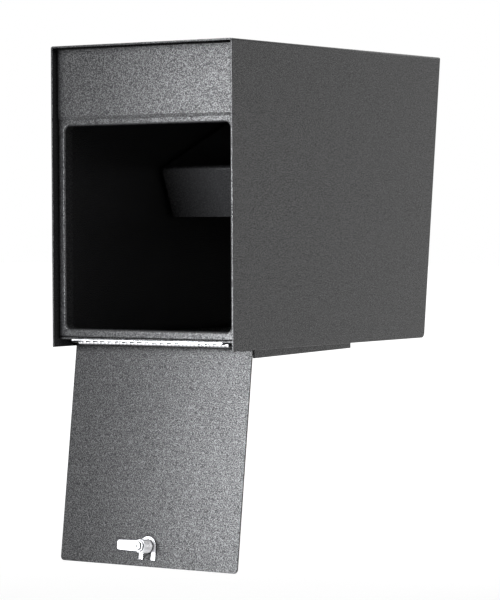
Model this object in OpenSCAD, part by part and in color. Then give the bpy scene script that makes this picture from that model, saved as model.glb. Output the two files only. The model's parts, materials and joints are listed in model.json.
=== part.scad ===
// Locking steel drop box with a bottom-hinged access door and a tilting deposit hopper.
// Millimetres. X runs across the box, Y from the access side to the deposit side, Z up.
// The origin is the centre of the bolt pattern on the underside of the base saddle.

/* [Shell] */
// Outside width of the box
box_w = 305; // [250:1:370]
// Height of the side walls
box_h = 419.5; // [345:0.5:510]
// Depth along the top edge
box_d = 561; // [465:1:680]
// How far the far lower corner stands behind the far upper corner
end_setback = 51; // [20:1:80]
// Sheet thickness of the shell
shell_t = 2.5; // [1.5:0.1:3.5]
// Outside radius of the two long folds
fold_r = 3; // [2.8:0.1:8]
// Radius of the far lower corners of the side walls
foot_r = 8; // [4:0.5:14]

/* [Access side] */
// Set-back of the header behind the front edges
header_face = 11; // [9:0.5:16]
// Height of the header from the top sheet to its bevel
header_h = 95.5; // [70:0.5:120]
// Height of the bevel along the header's lower edge
header_bevel = 5; // [3:0.5:8]
// Sheet thickness of header, frame, floor and end panel
panel_t = 2; // [1.2:0.1:2.6]
// Outside radius of the bends in these sheets
bend_r = 3; // [2.8:0.1:4]
// Width of the access opening
opening_w = 278; // [220:1:282]
// Corner radius of the access opening
opening_r = 8; // [4:0.5:20]
// Height of the frame's upper rail below the header
rail_top = 13.1; // [9:0.1:20]
// Height of the frame's lower rail
rail_low = 12.2; // [9:0.1:20]
// Depth of the flange that turns in round the opening
lip_depth = 18; // [10:0.5:20]
// Height of the floor's underside above the walls' lower edges
floor_z = 11.2; // [9:0.1:20]

/* [Access door] */
// Sheet thickness of the access door
door_t = 2.5; // [1.5:0.1:2.8]
// Outside radius of the bend along the door's hinge end
door_bend_r = 4; // [3.3:0.1:6]
// Gap between the shut door and the frame
door_gap = 0.3; // [0.2:0.05:0.6]
// Side clearance of the door in the shell
door_side_gap = 0.8; // [0.5:0.1:2]
// Gap between the shut door and the header's bevel
door_top_gap = 2.4; // [1.5:0.1:5]
// Distance of the hinge pin behind the door's inner face
door_offset = 19.3; // [16:0.1:24]
// Angle between the door shut and the door hanging
door_hang = 172.4; // [165:0.1:178]
// Corner radius of the door's free edge
door_corner_r = 6; // [2:0.5:12]

/* [Piano hinge] */
// Pitch of a pair of knuckles
hinge_pitch = 12.7; // [8:0.1:30]
// Number of knuckle pairs
hinge_pairs = 20; // [4:1:20]
// Inset of the hinge from the left wall
hinge_inset = 21; // [3:0.5:24]
// Outside radius of the rolled knuckles
knuckle_r = 3.7; // [3.5:0.05:4]
// Radius of the hinge pin
pin_r = 1.6; // [1:0.05:1.65]
// Thickness of the hinge leaves
leaf_t = 2; // [1:0.1:2]
// Width of each leaf from the pin to its free edge
leaf_w = 18.5; // [15:0.1:18.7]
// Rivets along each leaf
rivet_count = 6; // [3:1:7]

/* [Cam lock] */
// Distance of the lock from the door's free edge
lock_inset = 28; // [25:0.5:32]
// Radius of the lock's threaded barrel
barrel_r = 9; // [8:0.1:10]
// Reach of the barrel behind the door
barrel_reach = 22; // [21.8:0.1:30]
// Radius of the turning plug
plug_r = 6; // [5:0.1:6.2]
// Length of the cam from the lock's axis
cam_len = 35; // [30:0.5:38]
// Width of the cam at the lock's axis
cam_w = 15; // [12:0.5:18]
// Thickness of the cam
cam_t = 2.5; // [1.5:0.1:3]
// Width of the horseshoe clip
clip_w = 27.3; // [24:0.1:32]
// Length of the clip's legs below the lock's axis
clip_leg = 18.5; // [14:0.5:20]
// Thickness of the clip
clip_t = 1.6; // [1:0.1:2.2]

/* [Deposit hopper] */
// Height of the hopper's pivot below the top sheet
deposit_h = 120.8; // [100:0.1:145]
// Distance of the pivot inside the far edges of the walls
pivot_inset = 16; // [14.5:0.5:24]
// Set-back of the deposit door from the far edges
deposit_inset = 3; // [2:0.5:6]
// Length of the tray from the pivot to its rear plate
tray_len = 269.6; // [225:0.1:324]
// Depth of the tray's cheeks
tray_h = 77; // [64:0.5:92]
// Slope of the tray while the deposit door is shut
tray_tilt = 22.5; // [18:0.5:26]
// Length of the tray floor inward from the pivot
tray_floor_len = 120; // [80:1:150]
// Height of the pivot above the tray's lower edge
pivot_lift = 12; // [10:0.5:16]
// Gap between the tray's cheeks and the side walls
cheek_gap = 5; // [4:0.5:8]
// Thickness of the rubber bumpers that stop the raised tray
bumper_t = 7; // [4:0.5:12]
// Radius of the pivot rod
rod_r = 4; // [3:0.1:5]
// Length of the pull handle
handle_w = 120; // [80:1:160]
// Stand-off of the pull handle
handle_reach = 22; // [18:1:30]

/* [Base saddle] */
// Distance of the saddle behind the front edges
saddle_y = 100; // [80:1:130]
// Length of the saddle
saddle_len = 253; // [210:1:304]
// Width of the saddle
saddle_w = 240; // [200:1:250]
// Sheet thickness of the saddle
saddle_t = 3; // [2:0.1:4]
// Outside radius of the saddle's bends
saddle_bend_r = 5; // [4.2:0.1:8]
// Depth of the saddle's flanges at the access end
flange_front = 25.2; // [15:0.1:30]
// Depth of the saddle's flanges at the deposit end
flange_back = 21.1; // [15:0.1:30]
// Spacing of the mounting holes across the box
hole_x = 160; // [130:1:180]
// Spacing of the mounting holes along the box
hole_y = 200; // [160:1:204]
// Radius of the mounting holes
hole_r = 4.25; // [3:0.05:5.5]

/* [Hidden] */
$fn = 64;

weld_gap = 0.4;     // between sheets that are welded edge on
run_gap = 0.05;     // radial clearance of a shaft in its bore
bit = 1;            // overshoot of a cutting solid
black = [0.13, 0.13, 0.14];
zinc = [0.86, 0.86, 0.88];
rubber = [0.05, 0.05, 0.05];

inner_w = box_w - 2 * shell_t;
under_top = box_h - shell_t;
low_depth = box_d - end_setback;
lean_slope = end_setback / box_h;
lean = atan(lean_slope);

// Header, frame and floor
header_z = under_top - header_h;
frame_face = header_face + panel_t;
frame_lap = 8.5;        // of the frame behind the header
floor_top = floor_z + panel_t;
opening_z0 = floor_top + rail_low;
opening_z1 = header_z - rail_top;
header_flange = 22;
frame_foot = 47;
side_flange_y = 62;
corner_relief = 20;     // from the end of the floor's side flanges to its far edge

// Access door and its hinge, with the door shut
door_in = frame_face - door_gap;
door_w = inner_w - 2 * door_side_gap;
door_z1 = header_z - header_bevel - door_top_gap;
pin_y = door_in + door_offset;
barrel_gap = 0.4;       // between the knuckles and the floor pan
pin_z = floor_z - barrel_gap - knuckle_r;
door_z0 = pin_z - knuckle_r + leaf_t;
door_flange_y = pin_y - knuckle_r - 0.5;
hinge_x0 = -inner_w / 2 + hinge_inset;
hinge_len = hinge_pitch * hinge_pairs;
knuckle_len = hinge_pitch / 2;
knuckle_gap = 0.3;
curl_gap = 0.3;         // how far below the pin's axis a rolled knuckle ends
notch_w = knuckle_r + 0.6;
rivet_r = 1.6;
rivet_head_r = 3;
rivet_head_h = 0.9;
hinge_rivet_y = pin_y - knuckle_r - 7;
countersink = 1.3;

// Cam lock, with the door shut
lock_z = door_z1 - lock_inset;
lock_head_r = 11;
lock_head_t = 3;
cam_y = door_in + barrel_reach;
cam_tip_w = cam_w - 2;
cam_corner_r = 3;
tail_w = 7;             // square tail of the plug, which the cam sits on
slot_half = 6.8;        // half width of the barrel between its two clip slots
clip_clear = 0.15;
screw_r = 2;

// Deposit side
pivot_z = under_top - deposit_h;
pivot_y = far_y(pivot_z, pivot_inset);
end_inset = 6;
sill_drop = 16.7;
sill_z = pivot_z - sill_drop;
foot_flange = 20;
sill_flange = 12;
deposit_t = 2;
deposit_w = inner_w - 3;
deposit_z0 = pivot_z - 7;
deposit_z1 = under_top - 5;
cheek_x = inner_w / 2 - cheek_gap;
cheek_t = 2;
tray_top = tray_h - pivot_lift;
bumper_gap = 0.4;       // between the raised tray and its bumpers
open_reach = tray_len + panel_t;
open_room = deposit_h - bumper_t - bumper_gap;
tray_open = acos(open_room / norm([open_reach, tray_top])) - atan2(open_reach, tray_top);
hopper_swing = tray_tilt - tray_open;
rear_lip = 8;
floor_hem = 8;
boss_r = 9;
stop_drop = 15;
stop_flange = 18;
handle_z = pivot_z + 55;
handle_r = 5;
bumper_w = 18;
bumper_x = cheek_x - 22;

// Base saddle
saddle_mid = saddle_y + saddle_len / 2;
saddle_z = floor_z - saddle_t;

// Far side: Y of a line parallel to the far edges, a given distance inside them
function far_y(z, inset) = low_depth + lean_slope * z - inset;
// Tray frame: u runs outward along the tray from the pivot, v across it; a is its slope
function tray_y(u, v, a) = pivot_y + u * cos(a) - v * sin(a);
function tray_z(u, v, a) = pivot_z + u * sin(a) + v * cos(a);
// u at which a line of the tray meets the deposit door's inner face
function door_u(v) =
    (far_y(pivot_z + v * cos(tray_tilt), deposit_inset + deposit_t) - pivot_y + v * sin(tray_tilt))
    / (cos(tray_tilt) - lean_slope * sin(tray_tilt));

// Moves the box to the origin on the saddle's underside
module in_frame() {
    translate([0, -saddle_mid, -saddle_z]) children();
}

// Turns what hangs on the access door from shut to hanging
module hanging() {
    translate([0, pin_y, pin_z])
        rotate([door_hang, 0, 0])
            translate([0, -pin_y, -pin_z])
                children();
}

// Puts a part into the frame of the tray
module on_tray() {
    translate([0, pivot_y, pivot_z]) rotate([tray_tilt, 0, 0]) children();
}

// Extrudes a Y-Z section along X, centred
module across(width) {
    translate([-width / 2, 0, 0])
        rotate([90, 0, 90])
            linear_extrude(width)
                children();
}

// Extrudes an X-Z outline along Y
module along(y0, length) {
    translate([0, y0 + length, 0])
        rotate([90, 0, 0])
            linear_extrude(length)
                children();
}

// Cylinder along X, centred
module x_rod(r, length) {
    rotate([0, 90, 0]) cylinder(r = r, h = length, center = true);
}

// Cylinder along Y from y0
module y_rod(r, y0, length) {
    translate([0, y0, 0]) rotate([-90, 0, 0]) cylinder(r = r, h = length);
}

// Rectangle with four round corners, its lower edge at z0
module round_rect(width, z0, z1, r) {
    translate([-width / 2 + r, z0]) square([width - 2 * r, z1 - z0]);
    translate([-width / 2, z0 + r]) square([width, z1 - z0 - 2 * r]);
    for (x = [-width / 2 + r, width / 2 - r])
        for (z = [z0 + r, z1 - r])
            translate([x, z]) circle(r);
}

// Outline with two round upper corners
module arch(width, height, r) {
    translate([-width / 2, 0]) square([width, height - r]);
    translate([-width / 2 + r, 0]) square([width - 2 * r, height]);
    for (x = [-width / 2 + r, width / 2 - r])
        translate([x, height - r]) circle(r);
}

// Quarter of a bend in sheet t thick, round the origin, in the quadrant left of and below it
module elbow(r, t) {
    intersection() {
        difference() {
            circle(r);
            circle(r - t);
        }
        translate([-r - bit, -r - bit]) square(r + bit);
    }
}

// What rounding an edge of radius r takes away; the edge is at the origin
module round_over(r) {
    difference() {
        translate([-bit, -bit]) square(r + bit);
        translate([r, r]) circle(r);
    }
}

// Side view of the shell, with the far lower corner rounded
module wall_outline() {
    half = (90 + lean) / 2;
    reach = foot_r / tan(half);
    difference() {
        polygon([[0, 0], [low_depth, 0], [box_d, box_h], [0, box_h]]);
        difference() {
            polygon([
                [low_depth + bit, -bit],
                [low_depth - reach, -bit],
                [low_depth - reach, foot_r],
                [low_depth + reach * sin(lean), reach * cos(lean)],
                [low_depth + reach + bit, reach * cos(lean)]
            ]);
            translate([low_depth - reach, foot_r]) circle(foot_r);
        }
    }
}

module outer_shell() {
    color(black)
        intersection() {
            along(-bit, box_d + 2 * bit)
                difference() {
                    arch(box_w, box_h, fold_r);
                    translate([0, -bit])
                        arch(inner_w, under_top + bit, fold_r - shell_t);
                }
            across(box_w + bit) wall_outline();
        }
}

module header_panel() {
    top = under_top;
    width = inner_w - 2 * weld_gap;
    color(black)
        intersection() {
            across(width) {
                polygon([
                    [header_face, top - bend_r], [header_face, header_z],
                    [frame_face, header_z - header_bevel], [frame_face, top - bend_r]
                ]);
                translate([header_face + bend_r, top - panel_t])
                    square([header_flange - bend_r, panel_t]);
                translate([header_face + bend_r, top - bend_r])
                    mirror([0, 1]) elbow(bend_r, panel_t);
            }
            along(0, header_face + header_flange + bit) arch(width, top, fold_r - shell_t);
        }
}

// Plate round the opening, with a rounded lip turned inward and a foot bent back over the floor
module opening_frame() {
    plate_w = inner_w - 2 * weld_gap;
    plate_z0 = floor_top + bend_r;
    plate_z1 = header_z + frame_lap;
    color(black)
        difference() {
            union() {
                along(frame_face, panel_t)
                    translate([-plate_w / 2, plate_z0])
                        square([plate_w, plate_z1 - plate_z0]);
                along(frame_face, lip_depth)
                    round_rect(opening_w + 2 * panel_t, opening_z0 - panel_t,
                        opening_z1 + panel_t, opening_r + panel_t);
                translate([-plate_w / 2, frame_face + bend_r, floor_top])
                    cube([plate_w, frame_foot - bend_r, panel_t]);
                translate([0, frame_face + bend_r, plate_z0])
                    across(plate_w) elbow(bend_r, panel_t);
            }
            along(frame_face - bit, lip_depth + 2 * bit)
                round_rect(opening_w, opening_z0, opening_z1, opening_r);
            opening_edge();
            at_hinge_rivets()
                translate([0, 0, floor_top - bit])
                    cylinder(r = rivet_r + run_gap, h = panel_t + 2 * bit);
        }
}

// Rounds the front edge of the opening: four straight runs and four corners
module opening_edge() {
    half_w = opening_w / 2;
    half_h = (opening_z1 - opening_z0) / 2;
    translate([0, frame_face, (opening_z0 + opening_z1) / 2])
        for (turn = [0, 1, 2, 3]) {
            upright = turn % 2 == 1;
            reach = upright ? half_w : half_h;
            run = (upright ? half_h : half_w) - opening_r;
            rotate([0, 90 * turn, 0])
                translate([0, 0, reach])
                    across(2 * run)
                        round_over(bend_r);
            rotate([0, 90 * turn, 0])
                translate([run, 0, reach - opening_r])
                    rotate([-90, 0, 0])
                        rotate_extrude()
                            translate([opening_r, 0])
                                round_over(bend_r);
        }
}

// Through holes of the mounting pattern, in the box frame
module mount_holes() {
    for (x = [-hole_x / 2, hole_x / 2])
        for (y = [saddle_mid - hole_y / 2, saddle_mid + hole_y / 2])
            translate([x, y, saddle_z - bit])
                cylinder(r = hole_r, h = floor_top - saddle_z + 2 * bit);
}

// Places of the saddle's rivets
module at_saddle_rivets() {
    for (x = [-saddle_w / 4, 0, saddle_w / 4])
        for (y = [saddle_y + 18, saddle_y + saddle_len - 18])
            translate([x, y, saddle_z])
                children();
}

module floor_pan() {
    pan_w = inner_w - 2 * weld_gap;
    web_w = pan_w - 2 * bend_r;
    pan_y1 = far_y(floor_z, end_inset);
    flange_y1 = pan_y1 - corner_relief;
    flange_z0 = 1;
    color(black)
        difference() {
            union() {
                translate([-web_w / 2, frame_face, floor_z])
                    cube([web_w, pan_y1 - frame_face, panel_t]);
                translate([-pan_w / 2, frame_face, floor_z])
                    cube([pan_w, side_flange_y - frame_face, panel_t]);
                translate([-pan_w / 2, flange_y1, floor_z])
                    cube([pan_w, corner_relief, panel_t]);
                for (s = [0, 1])
                    mirror([s, 0, 0])
                        along(side_flange_y, flange_y1 - side_flange_y) {
                            translate([pan_w / 2 - panel_t, flange_z0])
                                square([panel_t, floor_top - bend_r - flange_z0]);
                            translate([pan_w / 2 - bend_r, floor_top - bend_r])
                                rotate(180) elbow(bend_r, panel_t);
                        }
            }
            mount_holes();
            at_saddle_rivets() cylinder(r = rivet_r + run_gap, h = saddle_t + panel_t + bit);
            at_hinge_rivets()
                translate([0, 0, floor_z - bit])
                    cylinder(r = rivet_r + run_gap, h = panel_t + 2 * bit);
        }
}

module end_panel() {
    z0 = floor_top;
    z1 = sill_z;
    inset = end_inset;
    back = inset + panel_t;
    color(black)
        across(inner_w - 2 * weld_gap)
            polygon([
                [far_y(z0, inset), z0], [far_y(z1, inset), z1],
                [far_y(z1, inset) - sill_flange, z1],
                [far_y(z1, inset) - sill_flange, z1 - panel_t],
                [far_y(z1 - panel_t, back), z1 - panel_t],
                [far_y(z0 + panel_t, back), z0 + panel_t],
                [far_y(z0, inset) - foot_flange, z0 + panel_t],
                [far_y(z0, inset) - foot_flange, z0]
            ]);
}

// Angle under the top sheet that the deposit door shuts against
module door_stop() {
    face = deposit_inset + deposit_t + 0.3;
    z0 = under_top - stop_drop;
    color(black)
        across(inner_w - 40)
            polygon([
                [far_y(z0, face), z0], [far_y(under_top, face), under_top],
                [far_y(under_top, face) - stop_flange, under_top],
                [far_y(under_top, face) - stop_flange, under_top - panel_t],
                [far_y(under_top - panel_t, face + panel_t), under_top - panel_t],
                [far_y(z0, face + panel_t), z0]
            ]);
}

module base_saddle() {
    web_w = saddle_w - 2 * saddle_bend_r;
    bend_z = floor_z - saddle_bend_r;
    color(black)
        difference() {
            union() {
                translate([-web_w / 2, saddle_y, saddle_z])
                    cube([web_w, saddle_len, saddle_t]);
                for (s = [0, 1])
                    mirror([s, 0, 0]) {
                        translate([saddle_w / 2 - saddle_t / 2, 0, 0])
                            across(saddle_t)
                                polygon([
                                    [saddle_y, bend_z],
                                    [saddle_y, floor_z - flange_front],
                                    [saddle_y + saddle_len, floor_z - flange_back],
                                    [saddle_y + saddle_len, bend_z]
                                ]);
                        along(saddle_y, saddle_len)
                            translate([web_w / 2, bend_z])
                                rotate(180) elbow(saddle_bend_r, saddle_t);
                    }
            }
            mount_holes();
            at_saddle_rivets() flush_hole(saddle_t);
        }
}

module saddle_rivets() {
    color(zinc) at_saddle_rivets() flush_rivet(saddle_t + panel_t);
}

// Places of a row of hinge rivets, along the door while it is shut
module at_hinge_rivets() {
    step = hinge_len / rivet_count;
    for (i = [0 : rivet_count - 1])
        translate([hinge_x0 + (i + 0.5) * step, hinge_rivet_y, 0])
            children();
}

// Leaf in front of the pin with every second knuckle rolled from it and left open at the front;
// its outer face is up and stands proud of the knuckles by rise
module leaf(first, rise) {
    last = 2 * hinge_pairs - 1;
    inner = knuckle_r - leaf_t;
    difference() {
        union() {
            translate([0, -leaf_w, inner + rise]) cube([hinge_len, leaf_w, leaf_t]);
            for (i = [first : 2 : last])
                translate([(i + 0.5) * knuckle_len, 0, 0])
                    x_rod(knuckle_r, knuckle_len - knuckle_gap);
        }
        for (i = [1 - first : 2 : last])
            translate([i * knuckle_len - knuckle_gap / 2, -notch_w, -bit])
                cube([knuckle_len + knuckle_gap, notch_w + bit, knuckle_r + rise + 2 * bit]);
        for (i = [first : 2 : last])
            translate([i * knuckle_len, -knuckle_r - bit, -curl_gap])
                cube([knuckle_len, knuckle_r + bit, inner + curl_gap]);
        translate([hinge_len / 2, 0, 0]) x_rod(pin_r + run_gap, hinge_len + 2 * bit);
    }
}

module hinge_fixed_leaf() {
    color(zinc)
        difference() {
            translate([hinge_x0, pin_y, pin_z]) leaf(0, barrel_gap);
            at_hinge_rivets()
                translate([0, 0, floor_z - leaf_t])
                    flush_hole(leaf_t);
        }
}

module hinge_moving_leaf() {
    color(zinc)
        hanging()
            difference() {
                translate([hinge_x0, pin_y, pin_z])
                    mirror([0, 0, 1])
                        leaf(1, 0);
                at_hinge_rivets()
                    translate([0, 0, door_z0 - leaf_t - bit])
                        cylinder(r = rivet_r + run_gap, h = leaf_t + 2 * bit);
            }
}

module hinge_pin() {
    color(zinc)
        translate([hinge_x0 + hinge_len / 2, pin_y, pin_z])
            x_rod(pin_r, hinge_len - knuckle_gap);
}

// Rivet with a head at each end of its grip
module rivet(grip) {
    translate([0, 0, -rivet_head_h])
        cylinder(r1 = rivet_r, r2 = rivet_head_r, h = rivet_head_h);
    cylinder(r = rivet_r, h = grip);
    translate([0, 0, grip])
        cylinder(r1 = rivet_head_r, r2 = rivet_r, h = rivet_head_h);
}

// Rivet that is flush below its grip
module flush_rivet(grip) {
    cylinder(r1 = rivet_head_r, r2 = rivet_r, h = countersink);
    cylinder(r = rivet_r, h = grip);
    translate([0, 0, grip])
        cylinder(r1 = rivet_head_r, r2 = rivet_r, h = rivet_head_h);
}

// Countersunk hole for it through a sheet t thick
module flush_hole(t) {
    translate([0, 0, -bit]) cylinder(r = rivet_r + run_gap, h = t + 2 * bit);
    cylinder(r1 = rivet_head_r + run_gap, r2 = rivet_r + run_gap, h = countersink + run_gap);
}

module hinge_rivets_fixed() {
    color(zinc)
        at_hinge_rivets()
            translate([0, 0, floor_z - leaf_t])
                flush_rivet(leaf_t + 2 * panel_t);
}

module hinge_rivets_moving() {
    color(zinc)
        hanging()
            at_hinge_rivets()
                translate([0, 0, door_z0 - leaf_t])
                    rivet(leaf_t + door_t);
}

// The door panel shut, with a flange bent towards the hinge
module access_door() {
    outer = door_in - door_t;
    bend_y = outer + door_bend_r;
    bend_z = door_z0 + door_bend_r;
    color(black)
        hanging()
            difference() {
                union() {
                    along(outer, door_t)
                        translate([0, bend_z])
                            arch(door_w, door_z1 - bend_z, door_corner_r);
                    translate([-door_w / 2, bend_y, door_z0])
                        cube([door_w, door_flange_y - bend_y, door_t]);
                    translate([0, bend_y, bend_z])
                        across(door_w) elbow(door_bend_r, door_t);
                }
                translate([0, 0, lock_z]) y_rod(barrel_r + run_gap, outer - bit, door_t + 2 * bit);
                at_hinge_rivets()
                    translate([0, 0, door_z0 - bit])
                        cylinder(r = rivet_r + run_gap, h = door_t + 2 * bit);
            }
}

// Barrel with a head outside the door and two slots for the clip behind it
module lock_barrel() {
    head_y = door_in - door_t - lock_head_t;
    color(zinc)
        hanging()
            translate([0, 0, lock_z])
                difference() {
                    union() {
                        y_rod(lock_head_r, head_y, lock_head_t);
                        y_rod(barrel_r, head_y + bit, cam_y - run_gap * 4 - head_y - bit);
                    }
                    y_rod(plug_r + run_gap, head_y - bit, cam_y - head_y + 2 * bit);
                    for (s = [0, 1])
                        mirror([s, 0, 0])
                            translate([slot_half - clip_clear, door_in, -barrel_r - bit])
                                cube([barrel_r, clip_t + clip_clear, 2 * (barrel_r + bit)]);
                }
}

module lock_clip() {
    throat = barrel_r + 2 * clip_clear;
    color(zinc)
        hanging()
            translate([0, 0, lock_z])
                along(door_in, clip_t)
                    difference() {
                        union() {
                            circle(clip_w / 2);
                            translate([-clip_w / 2, 0]) square([clip_w, clip_leg]);
                        }
                        intersection() {
                            circle(throat);
                            square([2 * slot_half, 2 * throat], center = true);
                        }
                        translate([-slot_half, 0]) square([2 * slot_half, clip_leg + bit]);
                    }
}

module lock_plug() {
    head_y = door_in - door_t - lock_head_t;
    color(zinc)
        hanging()
            translate([0, 0, lock_z])
                difference() {
                    union() {
                        y_rod(plug_r, head_y + 0.4, cam_y - head_y - 0.5);
                        translate([-tail_w / 2, cam_y - bit, -tail_w / 2])
                            cube([tail_w, cam_t + bit, tail_w]);
                    }
                    translate([-1, head_y - bit, -4]) cube([2, 12, 8]);
                    y_rod(screw_r + run_gap, cam_y - 10, cam_t + 10 + bit);
                }
}

// Flat cam: a round end at the plug and a tapered tongue with rounded tip corners
module lock_cam() {
    tip = cam_len - cam_corner_r;
    half = cam_tip_w / 2 - cam_corner_r;
    color(zinc)
        hanging()
            translate([0, 0, lock_z])
                difference() {
                    along(cam_y, cam_t) {
                        circle(cam_w / 2);
                        polygon([
                            [0, -cam_w / 2], [0, cam_w / 2],
                            [-tip, cam_tip_w / 2], [-tip, -cam_tip_w / 2]
                        ]);
                        translate([-cam_len, -half]) square([cam_corner_r + bit, 2 * half]);
                        for (z = [-half, half])
                            translate([-tip, z]) circle(cam_corner_r);
                    }
                    translate([-tail_w / 2 - run_gap, cam_y - bit, -tail_w / 2 - run_gap])
                        cube([tail_w + 2 * run_gap, cam_t + 2 * bit, tail_w + 2 * run_gap]);
                }
}

module lock_cam_screw() {
    color(zinc)
        hanging()
            translate([0, 0, lock_z])
                difference() {
                    union() {
                        y_rod(tail_w / 2 + 1.5, cam_y + cam_t, 2.4);
                        y_rod(screw_r, cam_y - 9, cam_t + 9 + bit);
                    }
                    translate([0, cam_y + cam_t + 1.2, 0])
                        rotate([-90, 0, 0])
                            cylinder(r = 2, h = 2, $fn = 6);
                }
}

module deposit_door() {
    inner = deposit_inset + deposit_t;
    color(black)
        difference() {
            across(deposit_w)
                polygon([
                    [far_y(deposit_z0, deposit_inset), deposit_z0],
                    [far_y(deposit_z1, deposit_inset), deposit_z1],
                    [far_y(deposit_z1, inner), deposit_z1],
                    [far_y(deposit_z0, inner), deposit_z0]
                ]);
            at_handle_feet()
                y_rod(screw_r + run_gap, -deposit_t - bit, deposit_t + 2 * bit);
        }
}

// Feet of the pull handle on the deposit door's outer face, Y pointing outward
module at_handle_feet() {
    for (x = [-handle_w / 2, handle_w / 2])
        translate([x, far_y(handle_z, deposit_inset), handle_z])
            rotate([-lean, 0, 0])
                children();
}

module deposit_handle() {
    color(black)
        difference() {
            union() {
                at_handle_feet() {
                    y_rod(handle_r, 0, handle_reach);
                    y_rod(handle_r + 3, 0, 2.5);
                    translate([0, handle_reach, 0]) sphere(handle_r);
                }
                translate([0, far_y(handle_z, deposit_inset), handle_z])
                    rotate([-lean, 0, 0])
                        translate([0, handle_reach, 0])
                            x_rod(handle_r, handle_w);
            }
            at_handle_feet() y_rod(screw_r + run_gap, -bit, 12 + bit);
        }
}

module handle_screws() {
    color(zinc)
        at_handle_feet() {
            y_rod(screw_r, -deposit_t - bit, 11 + deposit_t + bit);
            y_rod(2 * screw_r, -deposit_t - 2.6, 2.4);
        }
}

module tray_floor() {
    low = -pivot_lift;
    high = panel_t - pivot_lift;
    color(black)
        on_tray()
            across(2 * (cheek_x - cheek_t) - 2 * weld_gap) {
                polygon([
                    [bend_r - tray_floor_len, low], [door_u(low), low],
                    [door_u(high), high], [bend_r - tray_floor_len, high]
                ]);
                translate([-tray_floor_len, low - floor_hem])
                    square([panel_t, floor_hem + panel_t - bend_r]);
                translate([bend_r - tray_floor_len, high - bend_r])
                    mirror([0, 1]) elbow(bend_r, panel_t);
            }
}

// One cheek, with its bore for the pivot rod
module cheek() {
    on_tray()
        difference() {
            translate([cheek_x - cheek_t / 2, 0, 0])
                across(cheek_t)
                    polygon([
                        [-tray_len, -pivot_lift],
                        [door_u(-pivot_lift), -pivot_lift],
                        [door_u(tray_top), tray_top],
                        [-tray_len, tray_top]
                    ]);
            translate([cheek_x, 0, 0]) x_rod(rod_r + run_gap, 4 * cheek_t);
        }
}

module tray_cheek_right() {
    color(black) cheek();
}

module tray_cheek_left() {
    color(black) mirror([1, 0, 0]) cheek();
}

// Rear plate across both cheeks, with a lip turned over its upper edge
module tray_rear_plate() {
    back = -tray_len - panel_t;
    color(black)
        on_tray() {
            across(2 * cheek_x)
                translate([back, -pivot_lift])
                    square([panel_t, tray_h - bend_r]);
            across(2 * (cheek_x - cheek_t) - 2 * weld_gap) {
                translate([back + bend_r, tray_top - panel_t])
                    square([rear_lip - 1, panel_t]);
                translate([back + bend_r, tray_top - bend_r])
                    mirror([0, 1]) elbow(bend_r, panel_t);
            }
        }
}

module pivot_rod() {
    color(zinc)
        translate([0, pivot_y, pivot_z])
            x_rod(rod_r, inner_w - 1);
}

// Rings on the walls' inner faces that hold the rod's ends
module pivot_bosses() {
    boss_t = cheek_gap - 0.7;
    color(zinc)
        for (s = [0, 1])
            mirror([s, 0, 0])
                translate([inner_w / 2 - weld_gap - boss_t / 2, pivot_y, pivot_z])
                    difference() {
                        x_rod(boss_r, boss_t);
                        x_rod(rod_r + run_gap, boss_t + 2 * bit);
                    }
}

// Rubber pads under the top sheet that the raised tray meets
module tray_bumpers() {
    color(rubber)
        for (x = [-bumper_x, bumper_x])
            translate([x, tray_y(-tray_len, tray_top, tray_open), under_top - bumper_t])
                cylinder(r = bumper_w / 2, h = bumper_t);
}

in_frame() outer_shell();
in_frame() header_panel();
in_frame() opening_frame();
in_frame() floor_pan();
in_frame() end_panel();
in_frame() door_stop();
in_frame() base_saddle();
in_frame() saddle_rivets();
in_frame() hinge_fixed_leaf();
in_frame() hinge_rivets_fixed();
in_frame() hinge_pin();
in_frame() access_door();
in_frame() hinge_moving_leaf();
in_frame() hinge_rivets_moving();
in_frame() lock_barrel();
in_frame() lock_clip();
in_frame() lock_plug();
in_frame() lock_cam();
in_frame() lock_cam_screw();
in_frame() deposit_door();
in_frame() deposit_handle();
in_frame() handle_screws();
in_frame() tray_floor();
in_frame() tray_cheek_left();
in_frame() tray_cheek_right();
in_frame() tray_rear_plate();
in_frame() pivot_rod();
in_frame() pivot_bosses();
in_frame() tray_bumpers();
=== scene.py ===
import json
import math
import bpy
from mathutils import Matrix, Vector


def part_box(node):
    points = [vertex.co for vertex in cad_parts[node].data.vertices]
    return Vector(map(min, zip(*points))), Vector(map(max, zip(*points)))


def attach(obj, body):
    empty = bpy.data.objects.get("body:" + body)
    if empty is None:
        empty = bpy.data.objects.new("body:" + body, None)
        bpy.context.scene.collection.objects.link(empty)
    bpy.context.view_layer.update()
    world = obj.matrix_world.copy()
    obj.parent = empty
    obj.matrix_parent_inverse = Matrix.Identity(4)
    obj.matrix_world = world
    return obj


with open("model.json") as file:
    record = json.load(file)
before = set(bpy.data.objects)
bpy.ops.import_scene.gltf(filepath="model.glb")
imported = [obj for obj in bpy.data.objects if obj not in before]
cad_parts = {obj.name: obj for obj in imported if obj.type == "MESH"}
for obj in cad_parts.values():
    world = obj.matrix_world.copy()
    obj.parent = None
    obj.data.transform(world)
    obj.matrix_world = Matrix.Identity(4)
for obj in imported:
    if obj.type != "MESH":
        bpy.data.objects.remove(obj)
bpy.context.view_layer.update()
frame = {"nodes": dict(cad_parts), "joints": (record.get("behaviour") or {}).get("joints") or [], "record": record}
nodes = frame["nodes"]
scene = bpy.context.scene
mm = 0.001
print("frame loaded:", len(nodes), "nodes")

cameraSet = {
    "azimuth": 33.59,  # degrees round from straight in front of the access side
    "elevation": 1.63,
    "roll": -0.27,
    "distance": 3.9998,  # metres
    "target": (-0.0070, 0.0542, 0.0519),
    "lens": 165,  # mm on a 36 mm sensor
    "sensor": 36,
}


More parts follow.
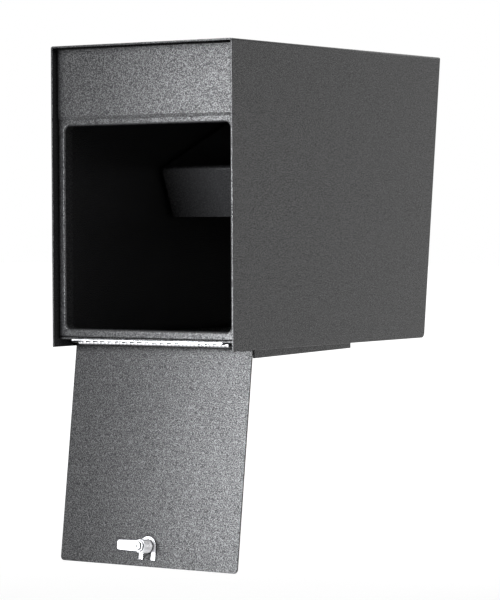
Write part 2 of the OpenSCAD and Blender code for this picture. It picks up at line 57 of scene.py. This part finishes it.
def makeCamera(c):
    a, e, r = (math.radians(c[k]) for k in ("azimuth", "elevation", "roll"))
    back = Vector((math.sin(a) * math.cos(e), -math.cos(a) * math.cos(e), math.sin(e)))
    level = Vector((math.cos(a), math.sin(a), 0))
    upright = back.cross(level)
    right = level * math.cos(r) + upright * math.sin(r)
    up = upright * math.cos(r) - level * math.sin(r)
    data = bpy.data.cameras.new("camera")
    data.lens = c["lens"]
    data.sensor_width = c["sensor"]
    camera = bpy.data.objects.new("camera", data)
    turned = Matrix((right, up, back)).transposed().to_4x4()
    camera.matrix_world = Matrix.Translation(Vector(c["target"]) + back * c["distance"]) @ turned
    scene.collection.objects.link(camera)
    scene.camera = camera


makeCamera(cameraSet)

lightSet = {
    "worldLevel": 0.29,  # what the surroundings give to the surfaces
    "lamps": {
        # name: (place, aim, width, height, watts, spread in degrees, colour)
        "frontSoftbox": ((-0.245, -0.957, 0.099), (0.30, -0.20, 0.10),
                         0.30, 0.80, 5.2, 120, (0.95, 0.97, 1.0)),
        "sideStrip": ((2.10, -0.50, 0.25), (0.0, 0.0, 0.10),
                      0.30, 1.20, 2.0, 180, (1.0, 1.0, 1.0)),
        "backFill": ((-1.1, 2.2, 1.9), (0.0, 0.1, 0.1),
                     1.4, 1.4, 9, 180, (1.0, 1.0, 1.0)),
        "topSoftbox": ((0.2, -0.3, 2.1), (0.0, 0.1, 0.2),
                       1.4, 1.4, 9, 180, (1.0, 1.0, 1.0)),
    },
}


def makeLamp(name, place, aim, width, height, watts, spreadAngle, colour):
    data = bpy.data.lights.new(name, "AREA")
    data.shape = "RECTANGLE"
    data.size = width
    data.size_y = height
    data.energy = watts
    data.spread = math.radians(spreadAngle)
    data.color = colour
    lamp = bpy.data.objects.new(name, data)
    lamp.location = place
    lamp.rotation_mode = "QUATERNION"
    lamp.rotation_quaternion = (Vector(aim) - Vector(place)).to_track_quat("-Z", "Y")
    lamp.visible_camera = False
    scene.collection.objects.link(lamp)


def seenRays(tree):
    # 1 for camera, glossy and transmission rays, 0 for the rays that only carry light
    path = tree.nodes.new("ShaderNodeLightPath")
    sums = [tree.nodes.new("ShaderNodeMath") for _ in range(2)]
    for node in sums:
        node.operation = "MAXIMUM"
    tree.links.new(path.outputs["Is Camera Ray"], sums[0].inputs[0])
    tree.links.new(path.outputs["Is Glossy Ray"], sums[0].inputs[1])
    tree.links.new(sums[0].outputs[0], sums[1].inputs[0])
    tree.links.new(path.outputs["Is Transmission Ray"], sums[1].inputs[1])
    return sums[1].outputs[0]


def makeWorld(level):
    world = bpy.data.worlds.new("world")
    scene.world = world
    world.use_nodes = True
    tree = world.node_tree
    tree.nodes.clear()
    out = tree.nodes.new("ShaderNodeOutputWorld")
    mix = tree.nodes.new("ShaderNodeMixShader")
    tree.links.new(seenRays(tree), mix.inputs["Fac"])
    for slot, strength in ((1, level), (2, 1)):
        sky = tree.nodes.new("ShaderNodeBackground")
        sky.inputs["Color"].default_value = (1, 1, 1, 1)
        sky.inputs["Strength"].default_value = strength
        tree.links.new(sky.outputs[0], mix.inputs[slot])
    tree.links.new(mix.outputs[0], out.inputs["Surface"])


for lampName, lampValues in lightSet["lamps"].items():
    makeLamp(lampName, *lampValues)
makeWorld(lightSet["worldLevel"])
scene.view_settings.view_transform = "Standard"
print("camera and lights made")


def newMaterial(name):
    material = bpy.data.materials.new(name)
    material.use_nodes = True
    tree = material.node_tree
    shader = next(n for n in tree.nodes if n.type == "BSDF_PRINCIPLED")
    return material, tree, shader


def objectPlace(tree):
    return tree.nodes.new("ShaderNodeTexCoord").outputs["Object"]


def noise(tree, source, scale, detail=2.0, roughness=0.5):
    node = tree.nodes.new("ShaderNodeTexNoise")
    node.inputs["Scale"].default_value = scale
    node.inputs["Detail"].default_value = detail
    node.inputs["Roughness"].default_value = roughness
    tree.links.new(source, node.inputs["Vector"])
    return node.outputs["Fac"]


def ramp(tree, source, stops):
    node = tree.nodes.new("ShaderNodeValToRGB")
    elements = node.color_ramp.elements
    while len(elements) < len(stops):
        elements.new(0.5)
    for element, (place, colour) in zip(elements, stops):
        element.position = place
        element.color = (*colour, 1)
    tree.links.new(source, node.inputs["Fac"])
    return node.outputs["Color"]


def spread(tree, source, low, high, fromLow=0.3, fromHigh=0.7):
    node = tree.nodes.new("ShaderNodeMapRange")
    node.inputs["From Min"].default_value = fromLow
    node.inputs["From Max"].default_value = fromHigh
    node.inputs["To Min"].default_value = low
    node.inputs["To Max"].default_value = high
    tree.links.new(source, node.inputs["Value"])
    return node.outputs["Result"]


def bump(tree, height, distance, base=None):
    node = tree.nodes.new("ShaderNodeBump")
    node.inputs["Strength"].default_value = 1
    node.inputs["Distance"].default_value = distance
    tree.links.new(height, node.inputs["Height"])
    if base is not None:
        tree.links.new(base, node.inputs["Normal"])
    return node.outputs["Normal"]


cornerSamples = 8


def cornerShade(tree, distance, low, fromLow, fromHigh):
    # painted shade: 1 on an open face, falling to low deep in an inside corner, a slit or a socket
    node = tree.nodes.new("ShaderNodeAmbientOcclusion")
    node.samples = cornerSamples
    node.inputs["Distance"].default_value = distance
    return spread(tree, node.outputs["AO"], low, 1, fromLow, fromHigh)


def times(tree, first, second):
    node = tree.nodes.new("ShaderNodeVectorMath")
    node.operation = "MULTIPLY"
    tree.links.new(first, node.inputs[0])
    tree.links.new(second, node.inputs[1])
    return node.outputs["Vector"]


powderCoat = {
    "dark": (0.034, 0.034, 0.035),
    "pale": (0.043, 0.043, 0.045),
    "colourStops": (0.35, 0.68),  # levels of the grain that are dark and pale
    "roughness": (0.24, 0.30),
    "roughStops": (0.40, 0.60),
    "glint": (0.0, 2.5),  # how much of the gloss the hollows and the tops of the grain give back
    "glintStops": (0.41, 0.61),
    "edgeRoughness": (0.14, 0.19),  # the coat lies thin and smooth along a sheet's edges
    "specular": 0.38,
    "cornerReach": 14 * mm,  # painted shade: colour and gloss darkened in inside corners and recesses out to this reach
    "cornerShade": (0.25, 0.50, 0.92),
    "grain": 430,  # grains of the textured coat to the metre
    "glintGrain": 860,
    "fineGrain": 1300,
    "grainHeight": 0.24 * mm,
    "edgeGrainHeight": 0.10 * mm,
    "fineShare": 0.4,  # of the grain's height
}


def makePowderCoat(name, p, roughness, height):
    material, tree, shader = newMaterial(name)
    place = objectPlace(tree)
    grain = noise(tree, place, p["grain"], 1.0, 0.5)
    fine = noise(tree, place, p["fineGrain"], 0.0)
    sparkle = noise(tree, place, p["glintGrain"], 0.6, 0.5)
    # painted shade: the corner term darkens both the coat's colour and its gloss
    corner = cornerShade(tree, p["cornerReach"], *p["cornerShade"])
    colour = ramp(tree, grain, list(zip(p["colourStops"], (p["dark"], p["pale"]))))
    tree.links.new(times(tree, colour, corner), shader.inputs["Base Color"])
    tree.links.new(spread(tree, sparkle, *roughness, *p["roughStops"]), shader.inputs["Roughness"])
    shader.inputs["Specular IOR Level"].default_value = p["specular"]
    glint = spread(tree, sparkle, *p["glint"], *p["glintStops"])
    tree.links.new(times(tree, glint, corner), shader.inputs["Specular Tint"])
    rough = bump(tree, grain, height)
    smooth = bump(tree, fine, height * p["fineShare"], base=rough)
    tree.links.new(smooth, shader.inputs["Normal"])
    return material


zincPlate = {
    "cornerReach": 3 * mm,  # painted shade: the plating's colour darkened in slits, sockets and inside corners
    "cornerShade": (0.0, 0.48, 0.88),
    "pale": (0.86, 0.86, 0.88),
    "dull": (0.70, 0.70, 0.72),
    "roughness": (0.22, 0.38),
}


# plain steel for the hinge pin, made near black to paint the shade in the knuckle slits; its corners get painted
# shade too
darkPinSlitShade = {
    "cornerReach": 3 * mm,
    "cornerShade": (0.05, 0.30, 0.80),
    "pale": (0.10, 0.10, 0.105),
    "dull": (0.05, 0.05, 0.05),
    "roughness": (0.30, 0.45),
}


steelSkin = {
    "cloud": 60,  # patches of plating to the metre
    "cloudDetail": 3.0,
    "grain": 900,
    "grainHeight": 0.03 * mm,
}


def makeZinc(name, p):
    material, tree, shader = newMaterial(name)
    place = objectPlace(tree)
    cloud = noise(tree, place, steelSkin["cloud"], steelSkin["cloudDetail"])
    colour = ramp(tree, cloud, [(0.3, p["dull"]), (0.7, p["pale"])])
    # painted shade in slits, sockets and corners, on the plating's colour
    corner = cornerShade(tree, p["cornerReach"], *p["cornerShade"])
    tree.links.new(times(tree, colour, corner), shader.inputs["Base Color"])
    tree.links.new(spread(tree, cloud, *p["roughness"]), shader.inputs["Roughness"])
    shader.inputs["Metallic"].default_value = 1.0
    grain = noise(tree, place, steelSkin["grain"], 1.0)
    tree.links.new(bump(tree, grain, steelSkin["grainHeight"]), shader.inputs["Normal"])
    return material


blackRubber = {
    "dark": (0.012, 0.012, 0.012),
    "pale": (0.025, 0.025, 0.025),
    "roughness": (0.65, 0.85),
    "grain": 700,
    "grainHeight": 0.1 * mm,
}


def makeRubber(p):
    material, tree, shader = newMaterial("blackRubber")
    grain = noise(tree, objectPlace(tree), p["grain"])
    colour = ramp(tree, grain, [(0.3, p["dark"]), (0.7, p["pale"])])
    tree.links.new(colour, shader.inputs["Base Color"])
    tree.links.new(spread(tree, grain, *p["roughness"]), shader.inputs["Roughness"])
    tree.links.new(bump(tree, grain, p["grainHeight"]), shader.inputs["Normal"])
    return material


coat = makePowderCoat("blackPowderCoat", powderCoat,
                      powderCoat["roughness"], powderCoat["grainHeight"])
coatEdge = makePowderCoat("blackPowderCoatEdge", powderCoat,
                          powderCoat["edgeRoughness"], powderCoat["edgeGrainHeight"])
zinc = makeZinc("zincPlate", zincPlate)
nearBlackPin = makeZinc("darkPinSteelSlitShade", darkPinSlitShade)
rubber = makeRubber(blackRubber)
finishes = {  # each slot's face finish and the finish of its rounded edges
    "black_powder_coat": (coat, coatEdge),
    "zinc_plate": (zinc, zinc),
    "rubber": (rubber, rubber),
}

edgeRounding = {
    "coated": 0.50 * mm,  # radius that the coat gives a cut edge
    "folded": 0.18 * mm,  # on the floor pan, whose corner reliefs take no more
    "held": ("floor_pan",),  # its edges run too close together for a full rounding
    "lock": 0.20 * mm,
    "hinge": 0.12 * mm,
    "fixedLeaf": 0.05 * mm,  # the end knuckle's cut takes no more
    "rivet": 0.20 * mm,
    "sharp": math.radians(32),  # an edge flatter than this is a bend and stays
    "segments": 2,
    "join": 0.005 * mm,  # points nearer than this are one
    "flat": math.radians(0.3),  # faces that turn less than this are one
}


def edgeRadius(node, slot):
    if slot != "zinc_plate":
        return edgeRounding["folded" if node == "floor_pan" else "coated"]
    if node == "hinge_fixed_leaf":
        return edgeRounding["fixedLeaf"]
    if node.startswith("hinge") and node.endswith("leaf"):
        return edgeRounding["hinge"]
    return edgeRounding["lock" if node.startswith("lock") or node == "handle_screws" else "rivet"]


def roundEdges(piece, radius, held):
    weld = piece.modifiers.new("weld", "WELD")
    weld.merge_threshold = edgeRounding["join"]
    flat = piece.modifiers.new("flat", "DECIMATE")
    flat.decimate_type = "DISSOLVE"
    flat.angle_limit = edgeRounding["flat"]
    edge = piece.modifiers.new("edge", "BEVEL")
    edge.width = radius
    edge.segments = edgeRounding["segments"]
    edge.limit_method = "ANGLE"
    edge.angle_limit = edgeRounding["sharp"]
    edge.harden_normals = True
    edge.use_clamp_overlap = held
    edge.material = 1  # the finish of the rounded edges


for row in frame["record"]["subparts"]:
    piece = nodes[row["node"]]
    piece.data.materials.clear()
    for finish in finishes[row["material_slot"]]:
        piece.data.materials.append(finish)
    radius = edgeRadius(row["node"], row["material_slot"])
    roundEdges(piece, radius, row["node"] in edgeRounding["held"])
# the hinge pin takes the near-black steel, which paints the shade in the knuckle slits
for slot in (0, 1):
    nodes["hinge_pin"].data.materials[slot] = nearBlackPin
print("finishes made")

barrelThread = {
    "crest": 9.35 * mm,
    "depth": 0.50 * mm,
    "pitch": 1.5 * mm,
    "start": 1.9 * mm,  # from the door's inner face, clear of the clip
    "end": 21.6 * mm,  # just short of the cam
    "inside": 8.7 * mm,  # under the barrel's own skin
    "around": 72,
    "perTurn": 8,
}


def latheAboutLock(name, rings, around, finish, body):
    # a closed ring-shaped solid, from rings of points given as
    # (reach from the door's inner face, share of a turn, radius)
    joint = next(j for j in frame["joints"] if j["name"] == "lock_turn")
    centre, along = Vector(joint["pos_m"]), Vector(joint["axis"]).normalized()
    sideways = Vector((1, 0, 0))
    upward = along.cross(sideways)
    points = []
    for reach, turn, radius in (p for ring in rings for p in ring):
        spoke = sideways * math.cos(math.tau * turn) + upward * math.sin(math.tau * turn)
        points.append(centre + along * reach + spoke * radius)
    faces = []
    for i in range(len(rings)):
        for j in range(around):
            k, n = (i + 1) % len(rings), (j + 1) % around
            faces.append((i * around + j, i * around + n, k * around + n, k * around + j))
    mesh = bpy.data.meshes.new(name)
    mesh.from_pydata(points, [], faces)
    mesh.materials.append(finish)
    piece = bpy.data.objects.new(name, mesh)
    scene.collection.objects.link(piece)
    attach(piece, body)


def makeThread(t):
    steps = round((t["end"] - t["start"]) / t["pitch"] * t["perTurn"])
    rings = []
    for i in range(steps + 1):
        reach = t["start"] + (t["end"] - t["start"]) * i / steps
        runOut = min(1, min(reach - t["start"], t["end"] - reach) / t["pitch"])
        ring = []
        for j in range(t["around"]):
            phase = (reach / t["pitch"] - j / t["around"]) % 1
            height = runOut * (1 - abs(2 * phase - 1))
            ring.append((reach, j / t["around"], t["crest"] - t["depth"] * (1 - height)))
        rings.append(ring)
    for reach in (t["end"], t["start"]):
        rings.append([(reach, j / t["around"], t["inside"]) for j in range(t["around"])])
    latheAboutLock("barrel_thread", rings, t["around"], zinc,
                   "access_door")


# painted shade: a thin black ring round the cam screw's head, standing for the dark gap and shadow round the head
camShadeRing = {
    "seat": 24.5 * mm,  # the cam's outer face, from the door's inner face
    "thickness": 0.6 * mm,
    "underHead": 0.3 * mm,
    "pastHead": 1.0 * mm,  # how far it shows past the screw's head
    "around": 48,
}


# builds the black ring of painted shade round the cam screw's head
def makeCamShadeRing(w):
    low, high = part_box("lock_cam_screw")
    head = (high.x - low.x) / 2
    lowFace, highFace = w["seat"], w["seat"] + w["thickness"]
    inner, outer = head - w["underHead"], head + w["pastHead"]
    profile = ((lowFace, outer), (highFace, outer), (highFace, inner), (lowFace, inner))
    rings = [[(reach, j / w["around"], radius) for j in range(w["around"])]
             for reach, radius in profile]
    latheAboutLock("cam_shade_ring", rings, w["around"], rubber, "lock_cam")


makeThread(barrelThread)
makeCamShadeRing(camShadeRing)
print("lock thread and washer made")

floorSet = {
    "height": -0.46,
    "size": 60,
    "colour": (0.45, 0.45, 0.45),
    "roughness": 0.9,
    "nearGlow": 0.72,  # lifts the floor to the backdrop's white where it is seen
    "farGlow": 1.0,
    "near": 0.9,  # metres from the part
    "far": 3.5,
}


def makeFloor(f):
    mesh = bpy.data.meshes.new("floor")
    half = f["size"] / 2
    mesh.from_pydata([(-half, -half, f["height"]), (half, -half, f["height"]),
                      (half, half, f["height"]), (-half, half, f["height"])], [], [(0, 1, 2, 3)])
    floor = bpy.data.objects.new("floor", mesh)
    material, tree, shader = newMaterial("paleFloor")
    shader.inputs["Base Color"].default_value = (*f["colour"], 1)
    shader.inputs["Roughness"].default_value = f["roughness"]
    shader.inputs["Emission Color"].default_value = (1, 1, 1, 1)
    away = tree.nodes.new("ShaderNodeVectorMath")
    away.operation = "LENGTH"
    tree.links.new(objectPlace(tree), away.inputs[0])
    glow = spread(tree, away.outputs["Value"],
                  f["nearGlow"], f["farGlow"], f["near"], f["far"])
    shown = tree.nodes.new("ShaderNodeMath")
    shown.operation = "MULTIPLY"
    tree.links.new(glow, shown.inputs[0])
    tree.links.new(seenRays(tree), shown.inputs[1])
    tree.links.new(shown.outputs[0], shader.inputs["Emission Strength"])
    out = next(n for n in tree.nodes if n.type == "OUTPUT_MATERIAL")
    side = tree.nodes.new("ShaderNodeNewGeometry")
    clear = tree.nodes.new("ShaderNodeBsdfTransparent")
    mix = tree.nodes.new("ShaderNodeMixShader")  # clear from below, to show the box's underside
    tree.links.new(side.outputs["Backfacing"], mix.inputs["Fac"])
    tree.links.new(shader.outputs[0], mix.inputs[1])
    tree.links.new(clear.outputs[0], mix.inputs[2])
    tree.links.new(mix.outputs[0], out.inputs["Surface"])
    mesh.materials.append(material)
    scene.collection.objects.link(floor)


makeFloor(floorSet)
print("floor made")
